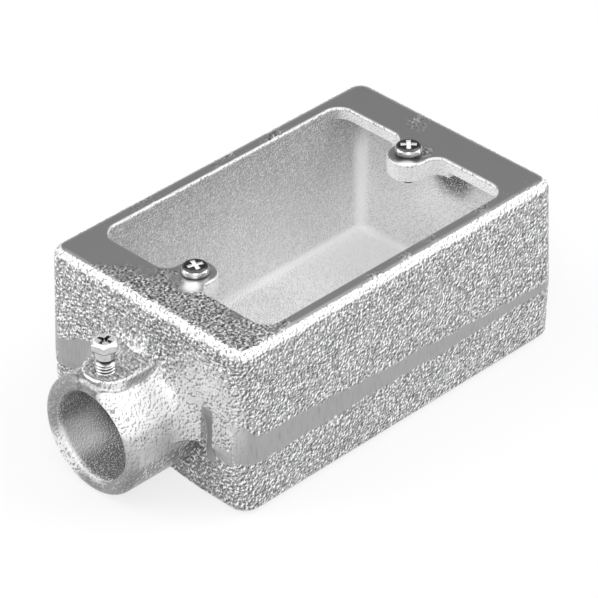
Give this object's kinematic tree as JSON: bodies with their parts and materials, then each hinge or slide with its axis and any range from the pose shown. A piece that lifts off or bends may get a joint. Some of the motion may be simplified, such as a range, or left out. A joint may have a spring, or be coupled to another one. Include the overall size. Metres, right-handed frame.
{
  "type": "one-way outlet box",
  "caption": "Surface-mounted cast outlet box, open at the front, with cover screws in lugs on its end lips and a conduit hub with a clamping set screw on one end.",
  "frame": {"origin": "centre of the box's flat back face, which seats on the wall", "axes": "+Z out through the open front, -Y along the conduit hub's axis towards its mouth, X across the box"},
  "size_m": [0.079, 0.1451, 0.0556],
  "materials": {
    "casting": "pebbled as-cast skin with a pale metallic plating",
    "cover_screw": "bright plated steel",
    "set_screw": "bright plated steel"
  },
  "bodies": {
    "box": {"cast_box": "casting"},
    "hub_end_screw": {"hub_end_cover_screw": "cover_screw"},
    "far_end_screw": {"far_end_cover_screw": "cover_screw"},
    "set_screw": {"conduit_set_screw": "set_screw"}
  },
  "joints": [
    {"name": "hub_end_screw_travel", "type": "slide", "parent": "box", "child": "hub_end_screw", "axis": [0, 0, 1], "range_m": [0, 0.009]},
    {"name": "far_end_screw_travel", "type": "slide", "parent": "box", "child": "far_end_screw", "axis": [0, 0, 1], "range_m": [-0.0007, 0.0083]},
    {"name": "set_screw_travel", "type": "slide", "parent": "box", "child": "set_screw", "axis": [0, 0, -1], "range_m": [0, 0.0019]}
  ]
}
